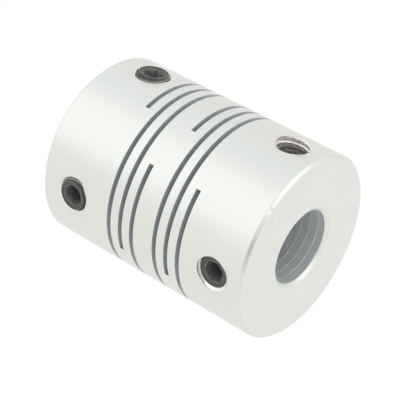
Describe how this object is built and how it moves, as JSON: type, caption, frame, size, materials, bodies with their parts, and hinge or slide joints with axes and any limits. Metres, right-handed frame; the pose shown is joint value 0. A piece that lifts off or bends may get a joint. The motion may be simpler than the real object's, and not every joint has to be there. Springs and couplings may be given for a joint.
{
  "type": "beam coupling",
  "caption": "Slit-type beam coupling joining an 8 mm and a 5 mm shaft: a cylindrical aluminium body with cross cuts that flex and set screws that grip the shafts.",
  "frame": {"origin": "centre of the coupling, on the shaft axis, halfway between the end faces", "axes": "+X along the shaft axis, out of the 8 mm bore; +Z towards the metal bridge that the first cut leaves; +Y completes the right-handed frame and points away from the lower set screws"},
  "size_m": [0.026, 0.0202, 0.0203],
  "materials": {
    "body": "satin clear-anodised, fine turned and blasted surface",
    "set_screw": "black-oxide alloy steel, slightly oily satin"
  },
  "bodies": {
    "hub_8mm": {"hub_8mm_bore": "body"},
    "web_1": {"flexure_web_1": "body", "flexure_bridge_1": "body"},
    "web_2": {"flexure_web_2": "body", "flexure_bridge_2": "body"},
    "web_3": {"flexure_web_3": "body", "flexure_bridge_3": "body"},
    "web_4": {"flexure_web_4": "body", "flexure_bridge_4": "body"},
    "web_5": {"flexure_web_5": "body", "flexure_bridge_5": "body"},
    "web_6": {"flexure_web_6": "body", "flexure_bridge_6": "body"},
    "web_7": {"flexure_web_7": "body", "flexure_bridge_7": "body"},
    "hub_5mm": {"hub_5mm_bore": "body", "flexure_bridge_8": "body"},
    "screw_8mm_upper": {"set_screw_8mm_upper": "set_screw"},
    "screw_8mm_lower": {"set_screw_8mm_lower": "set_screw"},
    "screw_5mm_upper": {"set_screw_5mm_upper": "set_screw"},
    "screw_5mm_lower": {"set_screw_5mm_lower": "set_screw"}
  },
  "joints": [
    {"name": "cut_1_flex", "type": "hinge", "parent": "hub_8mm", "child": "web_1", "pos_m": [0.00518, 0, 0.00711], "axis": [0, 1, 0], "range_deg": [-0.5, 0.5], "stiffness_Nm_per_rad": 8, "deforming": ["flexure_bridge_1"]},
    {"name": "cut_2_flex", "type": "hinge", "parent": "web_1", "child": "web_2", "pos_m": [0.00368, 0, -0.00711], "axis": [0, 1, 0], "range_deg": [-0.5, 0.5], "stiffness_Nm_per_rad": 8, "deforming": ["flexure_bridge_2"]},
    {"name": "cut_3_flex", "type": "hinge", "parent": "web_2", "child": "web_3", "pos_m": [0.00218, 0.00711, 0], "axis": [0, 0, 1], "range_deg": [-0.5, 0.5], "stiffness_Nm_per_rad": 8, "deforming": ["flexure_bridge_3"]},
    {"name": "cut_4_flex", "type": "hinge", "parent": "web_3", "child": "web_4", "pos_m": [0.00068, -0.00711, 0], "axis": [0, 0, 1], "range_deg": [-0.5, 0.5], "stiffness_Nm_per_rad": 8, "deforming": ["flexure_bridge_4"]},
    {"name": "cut_5_flex", "type": "hinge", "parent": "web_4", "child": "web_5", "pos_m": [-0.00082, 0, 0.00711], "axis": [0, 1, 0], "range_deg": [-0.5, 0.5], "stiffness_Nm_per_rad": 8, "deforming": ["flexure_bridge_5"]},
    {"name": "cut_6_flex", "type": "hinge", "parent": "web_5", "child": "web_6", "pos_m": [-0.00232, 0, -0.00711], "axis": [0, 1, 0], "range_deg": [-0.5, 0.5], "stiffness_Nm_per_rad": 8, "deforming": ["flexure_bridge_6"]},
    {"name": "cut_7_flex", "type": "hinge", "parent": "web_6", "child": "web_7", "pos_m": [-0.00382, 0.00711, 0], "axis": [0, 0, 1], "range_deg": [-0.5, 0.5], "stiffness_Nm_per_rad": 8, "deforming": ["flexure_bridge_7"]},
    {"name": "cut_8_flex", "type": "hinge", "parent": "web_7", "child": "hub_5mm", "pos_m": [-0.00532, -0.00711, 0], "axis": [0, 0, 1], "range_deg": [-0.5, 0.5], "stiffness_Nm_per_rad": 8, "deforming": ["flexure_bridge_8"]},
    {"name": "screw_8mm_upper_feed", "type": "slide", "parent": "hub_8mm", "child": "screw_8mm_upper", "axis": [0, 0.0523, -0.9986], "range_m": [-0.0021, 0.0014]},
    {"name": "screw_8mm_lower_feed", "type": "slide", "parent": "hub_8mm", "child": "screw_8mm_lower", "axis": [0, 0.9866, 0.1633], "range_m": [-0.0021, 0.0021]},
    {"name": "screw_5mm_upper_feed", "type": "slide", "parent": "hub_5mm", "child": "screw_5mm_upper", "axis": [0, 0.0523, -0.9986], "range_m": [-0.0021, 0.0042]},
    {"name": "screw_5mm_lower_feed", "type": "slide", "parent": "hub_5mm", "child": "screw_5mm_lower", "axis": [0, 0.9866, 0.1633], "range_m": [-0.0021, 0.0042]}
  ]
}
